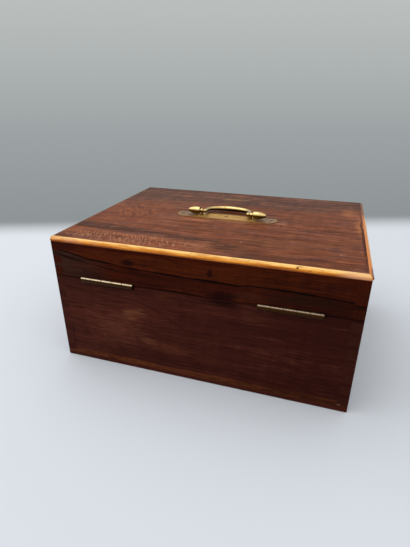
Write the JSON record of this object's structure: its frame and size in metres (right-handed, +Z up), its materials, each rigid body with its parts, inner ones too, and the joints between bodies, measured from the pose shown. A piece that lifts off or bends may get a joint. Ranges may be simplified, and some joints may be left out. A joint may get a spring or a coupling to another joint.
{
  "type": "wooden travel case",
  "caption": "Dovetailed hardwood box with a hinged lid, pale quarter-round edging, brass butt hinges, a cut-in lock and a folding brass bail handle.",
  "frame": {"origin": "centre of the base, on the surface the case stands on", "axes": "+X to the right along the case's width, -Y towards the front (keyhole side), +Y towards the hinges, +Z up"},
  "size_m": [0.307, 0.2398, 0.1526],
  "materials": {
    "rosewood": "French-polished dark hardwood",
    "boxwood": "polished boxwood",
    "brass": "worn polished brass",
    "old_brass": "dulled brass",
    "steel": "dull steel"
  },
  "bodies": {
    "case": {"case_back": "rosewood", "case_front": "rosewood", "case_left": "rosewood", "case_right": "rosewood", "case_bottom": "rosewood", "bottom_screws": "steel", "hinge_leaf_case_left": "brass", "hinge_leaf_case_right": "brass", "hinge_pin_left": "brass", "hinge_pin_right": "brass", "hinge_screws_case": "old_brass", "lock_selvedge": "brass", "lock_case": "old_brass", "lock_back_plate": "brass", "lock_drill_pin": "steel", "lock_screws": "old_brass", "keyhole_escutcheon": "brass"},
    "lock_bolt": {"lock_bolt": "steel"},
    "lid": {"lid_back": "rosewood", "lid_front": "rosewood", "lid_left": "rosewood", "lid_right": "rosewood", "lid_top": "rosewood", "edging_front": "boxwood", "edging_back": "boxwood", "edging_left": "boxwood", "edging_right": "boxwood", "hinge_leaf_lid_left": "brass", "hinge_leaf_lid_right": "brass", "hinge_screws_lid": "old_brass", "strike_plate": "brass", "strike_screws": "old_brass", "handle_plate": "old_brass", "handle_plate_screws": "old_brass", "handle_post_left": "brass", "handle_post_right": "brass", "handle_washers": "steel", "handle_nuts": "steel"},
    "handle": {"handle_bail": "brass", "handle_finial_left": "brass", "handle_finial_right": "brass"}
  },
  "joints": [
    {"name": "lid_hinge", "type": "hinge", "parent": "case", "child": "lid", "pos_m": [0, 0.1185, 0.1], "axis": [-1, 0, 0], "range_deg": [0, 180]},
    {"name": "handle_swing", "type": "hinge", "parent": "lid", "child": "handle", "pos_m": [0, 0, 0.1484], "axis": [-1, 0, 0], "range_deg": [0, 190.3]},
    {"name": "bolt_slide", "type": "slide", "parent": "case", "child": "lock_bolt", "axis": [1, 0, 0], "range_m": [0, 0.0044]}
  ]
}
